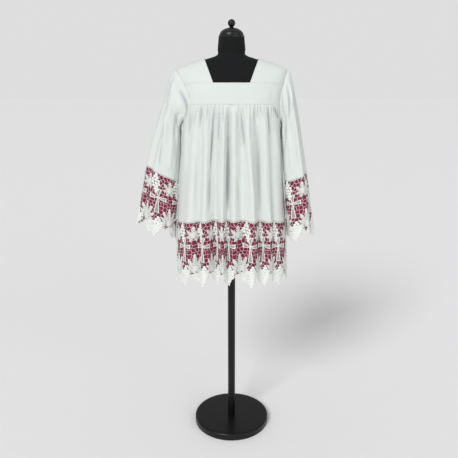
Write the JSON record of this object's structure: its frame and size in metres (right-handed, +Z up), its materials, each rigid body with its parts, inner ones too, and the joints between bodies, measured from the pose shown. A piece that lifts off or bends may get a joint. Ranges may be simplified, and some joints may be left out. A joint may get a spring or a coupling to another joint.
{
  "type": "surplice on a dress form",
  "caption": "White square-necked surplice with gathered panels, wide sleeves and a deep lace border over crimson at hem and cuffs, worn on a black limbless dress form with a round base.",
  "frame": {"origin": "centre of the base's underside", "axes": "+Z up, -Y the way the surplice's front faces, +X to the wearer's left"},
  "size_m": [0.7349, 0.3432, 1.7406],
  "materials": {
    "cotton": "matt plain weave, faintly cool white",
    "lace": "white embroidered openwork lace, slight lustre",
    "lining": "crimson taffeta, soft sheen",
    "jersey": "black stretch jersey, matt",
    "cap": "black, satin gloss",
    "stand": "black lacquer, satin gloss"
  },
  "bodies": {
    "root": {"front_yoke": "cotton", "back_yoke": "cotton", "shoulder_left": "cotton", "shoulder_right": "cotton", "front_panel": "cotton", "back_panel": "cotton", "sleeve_left": "cotton", "sleeve_right": "cotton", "hem_lining_front": "lining", "hem_lining_back": "lining", "cuff_lining_left": "lining", "cuff_lining_right": "lining", "form_torso": "jersey", "form_neck_cap": "cap", "form_ball": "cap", "form_pole": "stand", "form_base": "stand", "hem_lace_front": "lace", "hem_lace_back": "lace", "cuff_lace_left_front": "lace", "cuff_lace_left_back": "lace", "cuff_lace_right_front": "lace", "cuff_lace_right_back": "lace"}
  },
  "joints": []
}
